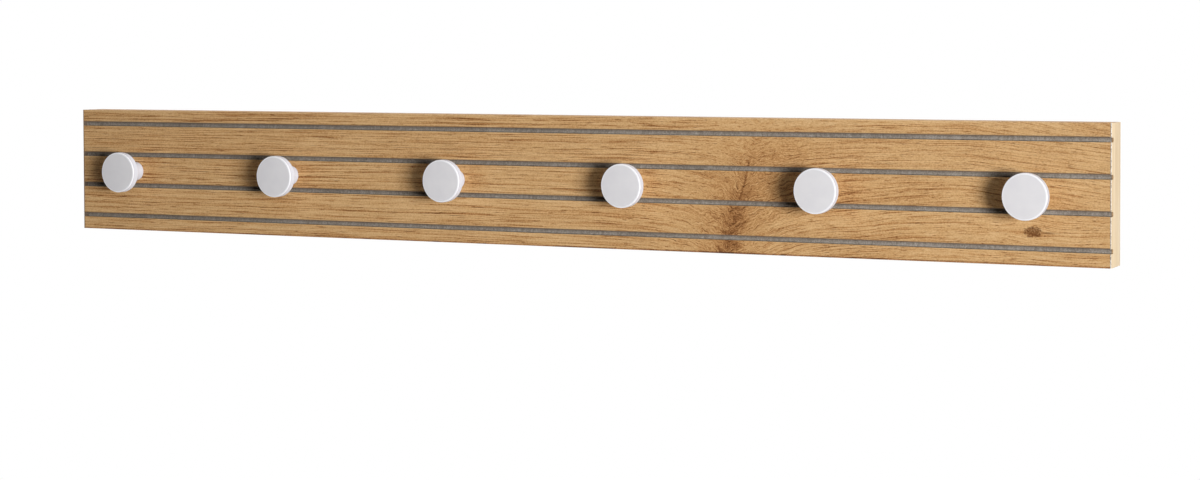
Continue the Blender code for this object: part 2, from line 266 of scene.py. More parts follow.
def flat(name, loops, thickness, turn, centre):
    """A plate from an outer outline and its holes, drawn in XY, then turned and moved into place."""
    curve = bpy.data.curves.new(name, "CURVE")
    curve.dimensions = "2D"
    curve.fill_mode = "BOTH"
    curve.extrude = thickness / 2
    for loop in loops:
        spline = curve.splines.new("POLY")
        spline.points.add(len(loop) - 1)
        for point, (x, y) in zip(spline.points, loop):
            point.co = (x, y, 0.0, 1.0)
        spline.use_cyclic_u = True
    outline = bpy.data.objects.new(name, curve)
    scene.collection.objects.link(outline)
    mesh = evaluated_mesh(outline)
    bpy.data.objects.remove(outline, do_unlink=True)
    bpy.data.curves.remove(curve)
    mesh.materials.clear()
    clean(mesh)
    mesh.transform(Matrix.Translation(centre) @ turn)
    return mesh


def sheet_of(name, loops, back, front):
    """A flat piece between two planes, its outlines given as (X, Z)."""
    return flat(name, loops, back - front, FACING_FRONT, (0.0, (back + front) / 2, 0.0))


def settle(piece):
    """Keeps what a piece's modifiers make as its mesh."""
    made = evaluated_mesh(piece)
    piece.modifiers.clear()
    piece.data = made


def carve(piece, cutters):
    """Takes closed meshes out of a piece."""
    helpers = []
    for mesh in cutters:
        helper = bpy.data.objects.new(mesh.name, mesh)
        scene.collection.objects.link(helper)
        modifier = piece.modifiers.new(mesh.name, "BOOLEAN")
        modifier.operation = "DIFFERENCE"
        modifier.solver = "MANIFOLD"
        modifier.object = helper
        helpers.append(helper)
    settle(piece)
    clean(piece.data)
    for helper in helpers:
        bpy.data.objects.remove(helper, do_unlink=True)


def soften(piece, width):
    """Rounds a piece's square edges."""
    modifier = piece.modifiers.new("rounding", "BEVEL")
    modifier.width = width
    modifier.segments = METAL_EDGE_STEPS
    modifier.limit_method = "ANGLE"
    modifier.angle_limit = math.radians(SQUARE_EDGE)
    settle(piece)


def make_piece(name, mesh, material, node):
    """A piece of the object that stands for a node of the frame."""
    piece = bpy.data.objects.new(name, mesh)
    scene.collection.objects.link(piece)
    mesh.materials.append(material)
    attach(piece, "root")
    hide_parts(node)
    return piece


# Materials

# Millimetres in a metre: materials are written in millimetres
MM = 1000.0
HALF_GROOVE = MM * (STRIPS[0][0] - STRIPS[1][1]) / 2
MIDDLE_STRIP_TOP = MM * STRIPS[KNOB_STRIP - 1][1]
KNOB_RIM = MM * half_width("knob_1")
KNOB_NECK = MM * KNOB_NECK_RADIUS

# Sockets of a Mix node, whose names repeat for each kind of data: its two numbers, its two colours
# and the colour that comes out
MIX_NUMBERS = (2, 3)
MIX_COLOURS = (6, 7)
MIX_COLOUR_RESULT = 2


def srgb(red, green, blue):
    """A colour given in 0 to 255 steps, as linear light."""
    def linear(step):
        share = step / 255
        return share / 12.92 if share <= 0.04045 else ((share + 0.055) / 1.055) ** 2.4
    return (linear(red), linear(green), linear(blue), 1.0)


class Graph:
    """Adds nodes to a node tree, wired by what they are given."""

    def __init__(self, tree):
        self.nodes = tree.nodes
        self.links = tree.links

    def feed(self, socket, term):
        if isinstance(term, bpy.types.NodeSocket):
            self.links.new(term, socket)
        else:
            socket.default_value = term

    def add(self, kind, *terms):
        """A new node, its first sockets fed with the terms."""
        node = self.nodes.new("ShaderNode" + kind)
        for socket, term in zip(node.inputs, terms):
            self.feed(socket, term)
        return node

    def calc(self, operation, *terms):
        node = self.add("Math")
        node.operation = operation
        for socket, term in zip(node.inputs, terms):
            self.feed(socket, term)
        return node.outputs[0]

    def total(self, *terms):
        result = terms[0]
        for term in terms[1:]:
            result = self.calc("ADD", result, term)
        return result

    def product(self, *terms):
        result = terms[0]
        for term in terms[1:]:
            result = self.calc("MULTIPLY", result, term)
        return result

    def weigh(self, base, marks):
        """A base plus marks, each times its share."""
        return self.total(base, *[self.product(mark, share) for mark, share in marks])

    def coordinates(self, kind):
        """Texture coordinates of a kind, as X, Y and Z."""
        return list(self.add("SeparateXYZ", self.add("TexCoord").outputs[kind]).outputs)

    def noise(self, x, y, z, detail=1.0, roughness=0.5):
        """Cloud noise about 0, mostly within plus or minus 0.5.

        X, Y and Z are each a pair, of a length and the size of a cloud along it, or a number or socket
        that picks another slice of the noise.
        """
        join = self.add("CombineXYZ")
        for socket, term in zip(join.inputs, (x, y, z)):
            if isinstance(term, tuple):
                length, size = term
                term = self.product(length, 1 / size)
            self.feed(socket, term)
        node = self.add("TexNoise", join.outputs[0])
        node.inputs["Scale"].default_value = 1.0
        node.inputs["Detail"].default_value = detail
        node.inputs["Roughness"].default_value = roughness
        return self.calc("SUBTRACT", node.outputs[0], 0.5)

    def ramp(self, value, start, end, low_end=0.0, high_end=1.0):
        """A smooth step from low_end at start to high_end at end."""
        node = self.add("MapRange", value, start, end, low_end, high_end)
        node.interpolation_type = "SMOOTHSTEP"
        return node.outputs[0]

    def bell(self, value, width):
        """1 where value is 0, falling off as a bell curve."""
        share = self.calc("DIVIDE", value, width)
        return self.calc("EXPONENT", self.product(share, share, -1.0))

    def rise(self, distance, reach):
        """0 at 0, rising to 1 over about three times the reach."""
        return self.calc("SUBTRACT", 1.0, self.calc("EXPONENT", self.calc("DIVIDE", distance, -reach)))

    def mix(self, share, one, other):
        """A colour between two, the other one where share is 1."""
        node = self.add("Mix")
        node.data_type = "RGBA"
        self.feed(node.inputs["Factor"], share)
        self.feed(node.inputs[MIX_COLOURS[0]], one)
        self.feed(node.inputs[MIX_COLOURS[1]], other)
        return node.outputs[MIX_COLOUR_RESULT]

    def colours(self, value, stops):
        """A colour band through (position, colour) stops."""
        node = self.add("ValToRGB", value)
        elements = node.color_ramp.elements
        while len(elements) < len(stops):
            elements.new(0.5)
        for element, (position, colour) in zip(elements, stops):
            element.position = position
            element.color = colour
        return node.outputs[0]


class Surface(Graph):
    """The nodes of one material."""

    def __init__(self, name):
        self.material = bpy.data.materials.new(name)
        self.material.use_nodes = True
        super().__init__(self.material.node_tree)
        self.shader = self.nodes["Principled BSDF"]

    def set(self, **terms):
        """Feeds the shader's own sockets: base_color=... goes to Base Color."""
        for name, term in terms.items():
            self.feed(self.shader.inputs[name.replace("_", " ").title().replace("Ior", "IOR")], term)

    def place(self):
        """The surface point's X, Y and Z in millimetres."""
        return [self.calc("MULTIPLY", output, MM) for output in self.coordinates("Object")]

    def bump(self, height, distance):
        node = self.add("Bump")
        node.inputs["Strength"].default_value = 1.0
        node.inputs["Distance"].default_value = distance
        self.feed(node.inputs["Height"], height)
        self.links.new(node.outputs[0], self.shader.inputs["Normal"])


def groove_offset(graph, z):
    """Height above the middle of the nearest groove, in millimetres."""
    middle = MM * (STRIPS[0][0] + STRIPS[1][1]) / 2
    half_pitch = MM * GROOVE_PITCH / 2
    return graph.calc("WRAP", graph.total(z, -middle), half_pitch, -half_pitch)


def knob_offset(graph, x, z):
    """Distances to the right of and above the nearest knob's axis, in millimetres."""
    axis_x, axis_z = axis_of("knob_1")
    half_pitch = MM * KNOB_PITCH / 2
    across = graph.calc("WRAP", graph.total(x, -MM * axis_x), half_pitch, -half_pitch)
    return across, graph.total(z, -MM * axis_z)


# Oak figure, in millimetres on the rail's front: a dark streak with feathered grain, and a small knot.
# A pair of places is where a change along the rail, or up it, starts and ends.
STREAK_X = 150.8
STREAK_LEAN = 0.27
SWIRL_REACH = 36.0
SWIRL_HEIGHTS = (42.0, 12.0)
FEATHER_LIFT_RIGHT = 34.0
FEATHER_REACH_RIGHT = 46.0
FEATHER_LIFT_LEFT = 20.0
FEATHER_REACH_LEFT = 28.0
FEATHER_HEIGHTS = (44.0, -4.0)
KNOT_X = 349.5
KNOT_Z = -23.9
KNOT_HALF_LENGTH = 5.5
KNOT_HALF_HEIGHT = 3.5
RING_PITCH = 4.7
RING_WIDTH = 0.10
SHORTER_BEYOND = 60.0
WILDER_PLACES = (60.0, 240.0)
FAINTER_PLACES = (200.0, 300.0)
RISING_BEYOND = 235.0
DIM_MIDDLE_X = 262.0
DIM_MIDDLE_REACH = 45.0


class Oak(Surface):
    """Oak whose rings, lines and pores follow the grain round a streak and a knot."""

    def __init__(self, name):
        super().__init__(name)
        self.x, self.y, self.z = self.place()
        self.away = self.calc("SUBTRACT", self.x, self.total(self.product(self.z, STREAK_LEAN), STREAK_X))
        self.near_streak = self.bell(self.away, SWIRL_REACH)
        self.stirred = self.product(self.near_streak, self.ramp(self.z, *SWIRL_HEIGHTS, 0.3, 1.0))
        self.calm = self.total(self.product(self.near_streak, -0.8), 1.0)
        self.wild = self.ramp(self.x, *WILDER_PLACES)
        self.knot_x = self.calc("SUBTRACT", self.x, KNOT_X)
        self.knot_z = self.calc("SUBTRACT", self.z, KNOT_Z)
        self.grain = self.grain_height()
        self.along = self.grain_length()

    def grain_height(self):
        """Where the grain lies: each contour of this height is one line of the figure."""
        level = self.total(self.z, self.product(self.y, 0.7))
        right = self.rise(self.calc("MAXIMUM", self.away, 0.0), FEATHER_REACH_RIGHT)
        left = self.rise(self.calc("MAXIMUM", self.product(self.away, -1.0), 0.0), FEATHER_REACH_LEFT)
        lift = self.total(self.product(right, FEATHER_LIFT_RIGHT), self.product(left, FEATHER_LIFT_LEFT))
        feathers = self.product(lift, self.ramp(self.z, *FEATHER_HEIGHTS, 0.1, 1.0), -1.0)
        swirl = self.product(self.noise((self.x, 13), 0.0, (self.z, 13)), 12.0)
        curl = self.product(self.noise((self.x, 4.5), 3.3, (self.z, 4.5)), 6.0)
        turned_grain = self.product(self.total(swirl, curl), self.stirred)
        wave_height = self.total(self.product(self.wild, 11.0), 2.0)
        wave = self.product(self.noise((self.x, 110), 1.7, (self.z, 60)), wave_height)
        ripple_height = self.total(self.product(self.wild, 1.6), 0.3)
        ripple = self.product(self.noise((self.x, 30), 5.1, (self.z, 14)), ripple_height)
        eye = self.product(self.bell(self.knot_x, 11.0), self.bell(self.knot_z, 7.0))
        parting = self.product(self.knot_z, eye, -0.85)
        far_right = self.calc("MAXIMUM", self.total(self.x, -RISING_BEYOND), 0.0)
        tilt = self.product(far_right, far_right, self.ramp(self.z, -30.0, 6.0, -0.0001, 0.0007))
        return self.total(level, feathers, turned_grain, wave, ripple, parting, tilt)

    def grain_length(self):
        """A length along the grain that runs faster on the right, where every mark is shorter."""
        beyond = self.calc("MAXIMUM", self.total(self.x, -SHORTER_BEYOND), 0.0)
        return self.total(self.x, self.product(beyond, 0.9))

    def rings(self):
        """Thin dark lines, each broken along its own length."""
        drift = self.noise((self.x, 160), 2.3, (self.grain, 12))
        phase = self.total(self.product(self.grain, 1 / RING_PITCH), self.product(drift, 1.6))
        line = self.bell(self.total(self.calc("FRACT", phase), -0.5), RING_WIDTH)
        own_seed = self.product(self.calc("FLOOR", phase), 3.7)
        broken = self.ramp(self.noise((self.along, 45), own_seed, 0.0, 2.0), -0.12, 0.12)
        return self.product(line, broken, self.calm)

    def lines(self):
        """Fine dark lines between the rings."""
        thread = self.noise((self.along, 110), 5.7, (self.grain, 0.70))
        stroke = self.noise((self.along, 40), 2.9, (self.grain, 0.62))
        both = self.total(self.ramp(thread, 0.0, 0.16), self.ramp(stroke, 0.02, 0.18))
        return self.product(both, self.calm)

    def pores(self):
        """Short dark dashes, with shorter scratches among them near the streak."""
        dash = self.noise((self.along, 10), 0.3, (self.grain, 0.6))
        scratch = self.noise((self.x, 3), 9.3, (self.grain, 1.0))
        scratches = self.product(self.ramp(scratch, 0.06, 0.2), self.near_streak, 0.7)
        return self.calc("MAXIMUM", self.ramp(dash, 0.12, 0.24), scratches)

    def flecks(self):
        """Pale flecks along the grain."""
        return self.ramp(self.noise((self.along, 26), 6.1, (self.grain, 0.7)), 0.06, 0.2)

    def barbs(self):
        """Dark barbs on the feathered grain to the right of the streak."""
        barb = self.noise((self.x, 7), 1.3, (self.grain, 0.65))
        beside = self.bell(self.total(self.away, -48.0), 42.0)
        return self.product(self.ramp(barb, 0.02, 0.16), beside, self.ramp(self.z, 40.0, 20.0))

    def arcs(self):
        """Curled arcs beside the streak."""
        whorl = self.product(self.noise((self.x, 10), 7.7, (self.z, 8)), 26.0)
        patches = self.ramp(self.noise((self.x, 6), 3.8, (self.z, 6)), -0.15, 0.1, 0.3, 1.0)
        curls = self.calc("SINE", self.total(self.product(self.grain, 2.9), whorl))
        return self.product(curls, self.stirred, patches)

    def streak_shade(self):
        """The streak's broad brown shade, wider and further right in its upper part."""
        upper = self.ramp(self.z, -18.0, -4.0)
        offset = self.total(self.away, self.product(upper, -9.0), 3.0)
        edge = self.product(self.noise((self.x, 14), 4.4, (self.z, 14), 3.0), 30.0)
        width = self.total(self.product(upper, 10.0), 26.0)
        fading = self.ramp(self.z, 46.0, 22.0, 0.2, 1.0)
        return self.product(self.bell(self.total(offset, edge), width), fading)

    def streak_blots(self):
        """Dark blots down the streak's lower part."""
        ragged = self.total(self.away, self.product(self.noise((self.x, 5), 0.9, (self.z, 7), 3.0), 13.0))
        blots = self.ramp(self.noise((self.x, 5), 2.7, (self.z, 4), 2.0), -0.2, 0.1, 0.55, 1.0)
        return self.product(self.bell(ragged, 7.0), self.ramp(self.z, 6.0, -18.0, 0.1, 1.0), blots)

    def streak_crack(self):
        """A thin crack above the blots."""
        wander = self.product(self.noise(0.0, 7.1, (self.z, 5), 2.0), 4.0)
        split = self.bell(self.total(self.away, wander), 0.8)
        return self.product(split, self.ramp(self.z, -8.0, 0.0), self.ramp(self.z, 22.0, 14.0))

    def painted_knob_shade(self):
        """Painted shade right of each knob against its bounced light, and a painted shadow left of it,
        the left ones closer in towards the rail's right end.
        """
        across, above = knob_offset(self, self.x, self.z)
        right = self.product(self.bell(self.total(across, -12.0), 10.0), self.bell(above, 12.0))
        left_offset = self.total(across, 25.0, self.product(self.x, -0.014))
        left = self.product(self.bell(left_offset, 7.0), self.bell(above, 11.0))
        return right, left

    def lip(self, distance, fade_end, fade_start):
        """A line on the edge of a groove, fading out between two widths from that edge."""
        past_edge = self.total(distance, -HALF_GROOVE)
        return self.product(self.ramp(past_edge, fade_end, fade_start), self.ramp(past_edge, -0.5, -0.4))

    def lips(self):
        """The lips along the grooves: painted shade along the one above each groove, and a painted
        highlight along the one below it.
        """
        above = groove_offset(self, self.z)
        upper = self.product(self.lip(above, 0.75, 0.4), 0.85)
        lower = self.lip(self.product(above, -1.0), 0.4, 0.1)
        return upper, lower

    def knot(self):
        """A ragged star, speckled inside, with a tail along the grain."""
        spike = self.product(self.noise((self.x, 1.6), 6.6, (self.z, 1.2), 3.0, 0.65), 3.0)
        reach_x = self.calc("DIVIDE", self.knot_x, KNOT_HALF_LENGTH)
        reach_z = self.calc("DIVIDE", self.knot_z, KNOT_HALF_HEIGHT)
        reach = self.total(self.product(reach_x, reach_x), self.product(reach_z, reach_z), spike)
        mottle = self.noise((self.x, 1.1), 1.9, (self.z, 1.1), 2.0)
        star = self.product(self.ramp(reach, 1.3, 0.7), self.ramp(mottle, -0.15, 0.2, 1.0, 0.5))
        tail_length = self.bell(self.total(self.knot_x, -9.5), 5.0)
        tail_height = self.bell(self.total(self.knot_z, 0.4), 0.6)
        return self.calc("MAXIMUM", star, self.product(tail_length, tail_height, 0.8))


def oak_material(name, gloss, roughest, base_tone):
    """Oak veneer: a tone made of marks, each with how far it lightens or darkens the wood."""
    oak = Oak(name)
    x, z = oak.x, oak.z
    cloud = oak.noise((x, 120), 8.2, (oak.grain, 20), 2.0)
    speckle = oak.noise((x, 1.1), (oak.y, 0.8), (z, 0.8))
    lines = oak.lines()
    fainter = oak.ramp(x, *FAINTER_PLACES, 1.0, 0.85)
    pores = oak.pores()
    # Painted shade along the lip above each groove and a painted highlight along the lip below it
    painted_shade_above_groove, painted_highlight_below_groove = oak.lips()

    # Painted shadow left of each knob and painted shade right of it.
    # Darker wood in the middle strip on the right, as the picture's tone is there
    painted_shade_right_of_knob, painted_shadow_left_of_knob = oak.painted_knob_shade()
    middle_strip = oak.ramp(oak.calc("ABSOLUTE", z), MIDDLE_STRIP_TOP + 2.0, MIDDLE_STRIP_TOP)
    dim_middle = oak.bell(oak.total(x, -DIM_MIDDLE_X), DIM_MIDDLE_REACH)

    tone = oak.weigh(base_tone, [
        (cloud, 0.22),
        (speckle, 0.60),
        (oak.flecks(), 0.14),
        (oak.rings(), oak.ramp(x, *FAINTER_PLACES, -0.30, -0.22)),
        (lines, oak.product(oak.ramp(z, -25.0, 25.0, -0.27, -0.34), fainter)),
        (oak.wild, oak.ramp(z, -10.0, 15.0, -0.01, 0.02)),
        (pores, -0.32),
        (oak.barbs(), -0.16),
        (oak.arcs(), -0.11),
        (oak.streak_shade(), -0.22),
        (oak.streak_blots(), -0.34),
        (oak.streak_crack(), -0.24),
        # Painted shade right of each knob and a painted shadow left of it
        (painted_shade_right_of_knob, -0.13),
        (painted_shadow_left_of_knob, -0.17),
        (oak.product(dim_middle, middle_strip), -0.09),
        (oak.product(oak.near_streak, middle_strip), -0.05),
        # Painted highlight along the lip below each groove
        (painted_highlight_below_groove, 0.16),
    ])
    wood = oak.colours(tone, [
        (0.00, srgb(92, 58, 33)),
        (0.25, srgb(141, 94, 55)),
        (0.50, srgb(187, 138, 88)),
        (0.72, srgb(210, 166, 113)),
        (1.00, srgb(228, 190, 140)),
    ])
    # Painted shade along the lip above each groove
    lipped = oak.mix(painted_shade_above_groove, wood, srgb(122, 104, 88))
    oak.set(base_color=oak.mix(oak.knot(), lipped, srgb(112, 72, 40)))
    oak.set(roughness=oak.ramp(tone, 0.2, 0.9, roughest, roughest - 0.14))
    oak.set(specular_ior_level=gloss)
    oak.bump(oak.total(oak.product(pores, -1.0), oak.product(lines, -0.3)), 0.00012)
    return oak.material


def pale_band_material():
    """The end bands' pale wood with fine upright grain.

    The right band has a painted highlight along its front edge and is brown where the grooves cut it. The
    left band has painted shade along its front edge and is dark grey-brown where it closes the grooves.
    """
    graph = Surface("pale_end_band")
    x, y, z = graph.place()
    on_left = graph.ramp(x, 1.0, -1.0)
    on_right = graph.ramp(x, -1.0, 1.0)
    at_front = graph.ramp(y, MM * FRONT_Y + 0.5, MM * FRONT_Y + 0.2)
    past_groove = graph.total(graph.calc("ABSOLUTE", groove_offset(graph, z)), -HALF_GROOVE)

    sway = graph.product(graph.noise(0.0, 1.0, (z, 40), 2.0), 2.0)
    across = graph.total(y, graph.product(x, 0.6), sway)
    stripe = graph.noise((across, 4.5), 0.4, (z, 90), 2.0, 0.6)
    fleck = graph.noise((across, 0.5), 2.2, (z, 7), 2.0)
    tone = graph.weigh(0.5, [(stripe, 1.5), (fleck, 0.35)])
    colour = graph.colours(tone, [
        (0.0, srgb(204, 172, 126)),
        (0.5, srgb(230, 204, 163)),
        (1.0, srgb(243, 222, 187)),
    ])

    # Painted shade: a brown front edge on the left band, which faces away from the light
    brown = graph.colours(tone, [(0.2, srgb(118, 82, 48)), (0.8, srgb(146, 106, 66))])
    colour = graph.mix(graph.product(at_front, on_left), colour, brown)

    # Painted highlight: a whitened, finely dotted front edge on the right band
    dots = graph.ramp(graph.noise((x, 0.6), 5.5, (z, 0.9)), -0.12, 0.06)
    white = graph.mix(dots, srgb(170, 162, 150), srgb(236, 231, 223))
    behind_rim = graph.ramp(x, MM * BOARD_RIGHT - 0.22, MM * BOARD_RIGHT - 0.32)
    colour = graph.mix(graph.product(at_front, behind_rim, on_right), colour, white)

    milled = graph.colours(tone, [(0.2, srgb(168, 132, 92)), (0.8, srgb(206, 172, 132))])
    under_face = graph.ramp(x, MM * BOARD_RIGHT - 0.01, MM * BOARD_RIGHT - 0.03)
    cut = graph.product(graph.ramp(past_groove, 0.08, 0.02), under_face, on_right)
    colour = graph.mix(cut, colour, milled)

    # Dark grey-brown on the left band's inner face where it closes the grooves
    groove_end_grey = graph.colours(tone, [(0.2, srgb(88, 76, 64)), (0.8, srgb(112, 98, 84))])
    inner_side = graph.ramp(x, MM * INNER_LEFT - 0.4, MM * INNER_LEFT - 0.3)
    closing = graph.product(graph.ramp(past_groove, 0.25, 0.0), inner_side, on_left)
    graph.set(base_color=graph.mix(closing, colour, groove_end_grey))
    graph.set(roughness=graph.ramp(tone, 0.0, 1.0, 0.55, 0.42))
    graph.bump(graph.total(stripe, fleck), 0.00008)
    return graph.material


def grey_core_material():
    """Raw milled fibreboard: grey-brown with pale and dark fibres, painted shade high in each groove,
    painted light low in it, and painted light towards the right.
    """
    graph = Surface("grey_fibreboard")
    x, y, z = graph.place()
    depth = graph.total(z, graph.product(y, 0.8))
    streak = graph.noise((x, 2.2), 0.6, (depth, 5.0), 3.0, 0.65)
    speck = graph.noise((x, 0.9), (y, 0.9), (z, 0.9), 2.0, 0.6)
    patch = graph.noise((x, 45), 3.0, (depth, 30), 2.0)
    # Painted shade high in each groove under its upper edge, and painted light low in it
    painted_groove_shading = graph.ramp(groove_offset(graph, z), HALF_GROOVE - 0.3, -HALF_GROOVE, -0.09, 0.16)
    # Painted light: paler grooves towards the right, where the light reaches deeper into them
    painted_light_right = graph.ramp(x, -320.0, 400.0, -0.03, 0.06)
    fibres = graph.weigh(0.5, [(streak, 0.55), (speck, 0.85), (patch, 0.30)])
    tone = graph.total(fibres, painted_groove_shading, painted_light_right)
    graph.set(base_color=graph.colours(tone, [
        (0.0, srgb(92, 84, 75)),
        (0.5, srgb(140, 131, 121)),
        (0.8, srgb(174, 166, 157)),
        (1.0, srgb(208, 202, 194)),
    ]))
    graph.set(roughness=graph.ramp(tone, 0.0, 1.0, 0.95, 0.85))
    graph.set(specular_ior_level=0.15)
    graph.bump(graph.total(streak, speck), 0.0003)
    return graph.material


def back_paper_material():
    """The plain balancing sheet behind: beige paper with a faint mottle and short fibres."""
    graph = Surface("back_sheet_paper")
    x, _, z = graph.place()
    mottle = graph.noise((x, 16), 1.0, (z, 11), 3.0, 0.6)
    fibre = graph.noise((x, 4.5), 2.0, (z, 0.8), 2.0)
    tone = graph.weigh(0.5, [(mottle, 0.6), (fibre, 0.5)])
    graph.set(base_color=graph.colours(tone, [
        (0.0, srgb(176, 158, 132)),
        (0.5, srgb(196, 180, 155)),
        (1.0, srgb(212, 199, 177)),
    ]))
    graph.set(roughness=graph.ramp(tone, 0.0, 1.0, 0.85, 0.7))
    graph.bump(graph.total(mottle, fibre), 0.00008)
    return graph.material


def white_lacquer_material():
    """Satin white coating with the faint peel of sprayed paint.

    A painted highlight makes it whitest round the edge of a knob's face; it is greyer in a line round the
    rim, and painted shade greys the neck.
    """
    graph = Surface("white_lacquer")
    x, y, z = graph.place()
    peel = graph.noise((x, 1.1), (y, 1.1), (z, 1.1), 2.0)
    haze = graph.noise((x, 9), (y, 9), (z, 9), 2.0)
    hazy = graph.ramp(haze, -0.3, 0.3)
    across, above = knob_offset(graph, x, z)
    radius = graph.calc("SQRT", graph.total(graph.product(across, across), graph.product(above, above)))
    behind_face = graph.total(y, -MM * KNOB_FACE_Y)

    plain_face = graph.mix(hazy, srgb(226, 224, 227), srgb(231, 229, 231))
    # Painted highlight round the edge of each knob's face
    painted_face_highlight = graph.product(graph.ramp(radius, KNOB_RIM - 1.25, KNOB_RIM - 0.85), 0.8)
    face = graph.mix(painted_face_highlight, plain_face, srgb(250, 250, 254))

    plain_sides = graph.mix(hazy, srgb(222, 226, 237), srgb(227, 230, 240))
    on_rim = graph.ramp(radius, KNOB_RIM - 1.75, KNOB_RIM - 1.25)
    rim_line = graph.product(graph.bell(graph.total(behind_face, -1.5), 0.5), on_rim, 0.7)
    # Painted shade on the neck, under the knob's head
    neck = graph.product(graph.ramp(radius, KNOB_NECK + 4.0, KNOB_NECK + 1.0), 0.75)
    sides = graph.mix(graph.calc("MAXIMUM", rim_line, neck), plain_sides, srgb(204, 205, 214))

    graph.set(base_color=graph.mix(graph.ramp(behind_face, 0.7, 0.4), sides, face))
    graph.set(roughness=graph.ramp(haze, -0.3, 0.3, 0.36, 0.44))
    graph.bump(peel, 0.00002)
    return graph.material


def zinc_material():
    """Bright zinc plating: fine rolled lines and a slightly cloudy gloss."""
    graph = Surface("zinc_plating")
    graph.set(metallic=1.0)
    x, y, z = graph.place()
    line = graph.noise((x, 0.25), (y, 0.25), (z, 9), 2.0)
    cloud = graph.noise((x, 4), (y, 4), (z, 4), 3.0)
    cloudy = graph.ramp(cloud, -0.25, 0.25)
    graph.set(base_color=graph.mix(cloudy, srgb(196, 197, 195), srgb(214, 213, 206)))
    graph.set(roughness=graph.ramp(graph.total(line, cloud), -0.4, 0.4, 0.28, 0.46))
    graph.bump(line, 0.00002)
    return graph.material


OAK = oak_material("oak_veneer", gloss=0.08, roughest=0.62, base_tone=0.84)
OAK_TOP_EDGE = oak_material("oak_top_edge", gloss=0.3, roughest=0.62, base_tone=0.84)
# The bottom band is a darker copy of the oak: painted shade for its downward-facing edge
OAK_BOTTOM_EDGE_SHADED = oak_material("oak_bottom_edge_shaded", gloss=0.3, roughest=0.62, base_tone=0.45)
PALE_BAND = pale_band_material()
GREY_CORE = grey_core_material()
BACK_PAPER = back_paper_material()
WHITE_LACQUER = white_lacquer_material()
ZINC = zinc_material()


# Board


def strip_section(bottom, top, round_bottom, round_top):
    """A veneer strip's section as (Y, Z), with small lips where it meets a groove."""
    back = CORE_FRONT - GLUE_LINE
    section = [(back, bottom), (back, top)]
    if round_top:
        section += arc((FRONT_Y + STRIP_LIP, top - STRIP_LIP), STRIP_LIP, 90, 180, LIP_STEPS)
    else:
        section.append((FRONT_Y, top))
    if round_bottom:
        section += arc((FRONT_Y + STRIP_LIP, bottom + STRIP_LIP), STRIP_LIP, 180, 270, LIP_STEPS)
    else:
        section.append((FRONT_Y, bottom))
    return section


def make_oak_strips():
    """The veneer strips, their lips wandering a little along the grooves as cut wood does."""
    stations = round((INNER_RIGHT - INNER_LEFT) / STRIP_STATION)
    for number, (bottom, top) in enumerate(STRIPS, start=1):
        wander = random.Random(number)
        at_top, at_bottom = number > 1, number < STRIP_COUNT
        rings = []
        for i in range(stations + 1):
            x = INNER_LEFT + (INNER_RIGHT - INNER_LEFT) * i / stations
            upper = top - wander.uniform(0, LIP_WANDER) if at_top else INNER_TOP
            lower = bottom + wander.uniform(0, LIP_WANDER) if at_bottom else INNER_BOTTOM
            rings.append([(x, y, z) for y, z in strip_section(lower, upper, at_bottom, at_top)])
        name = f"oak_strip_{number}"
        piece = make_piece(name, loft(name, rings), OAK, f"front_veneer_{number}")
        if number == KNOB_STRIP:
            carve(piece, [knob_hole(knob) for knob in KNOB_NUMBERS])
        shade_round(piece.data, sharp_above=50)


def make_edge_band(node, inner, outer, material):
    """A long band on the top or bottom edge, its outer edges rounded."""
    away = 1 if outer > inner else -1
    shoulder = outer - away * BAND_ROUNDING
    front_shoulder = (FRONT_Y + BAND_ROUNDING, shoulder)
    section = [(0.0, inner)]
    section += arc((-BAND_ROUNDING, shoulder), BAND_ROUNDING, 0, away * 90, CORNER_STEPS)
    section += arc(front_shoulder, BAND_ROUNDING, away * 90, away * 180, CORNER_STEPS)
    section.append((FRONT_Y, inner))
    name = f"oak_{node}"
    piece = make_piece(name, board_length(name, section), material, node)
    shade_round(piece.data)


def grooved_section(back, front, bottom, top):
    """The board's section as (Y, Z), with the grooves cut into its front side."""
    corner = GROOVE_CORNER
    centre = FRONT_Y + GROOVE_DEPTH - corner
    section = [(back, bottom), (back, top), (front, top)]
    for (upper, _), (_, lower) in zip(STRIPS, STRIPS[1:]):
        section.append((front, upper))
        section += arc((centre, upper - corner), corner, 90, 0, CORNER_STEPS)
        section += arc((centre, lower + corner), corner, 0, -90, CORNER_STEPS)
        section.append((front, lower))
    section.append((front, bottom))
    return section


def make_end_band(node, outer, inner, section):
    """A pale band across one end, rounded round its outer face but not inside a groove."""
    inner_face = inner + math.copysign(HAIRLINE, outer - inner)
    centre = ((outer + inner_face) / 2, 0.0, 0.0)
    mesh = flat(node, [section], abs(outer - inner_face), ALONG_RAIL, centre)
    solid = bmesh.new()
    solid.from_mesh(mesh)
    rim = []
    for edge in solid.edges:
        on_outer_face = all(abs(vert.co.x - outer) < NEAR for vert in edge.verts)
        in_groove = any(FRONT_Y + NEAR < vert.co.y < -NEAR for vert in edge.verts)
        if on_outer_face and not in_groove and edge.calc_face_angle() > math.radians(BAND_RIM):
            rim.append(edge)
    bmesh.ops.bevel(
        solid, geom=rim, offset=BAND_ROUNDING, segments=BAND_EDGE_STEPS, profile=0.5, affect="EDGES"
    )
    solid.to_mesh(mesh)
    solid.free()
    shade_round(mesh)
    make_piece(f"pale_{node}", mesh, PALE_BAND, node)


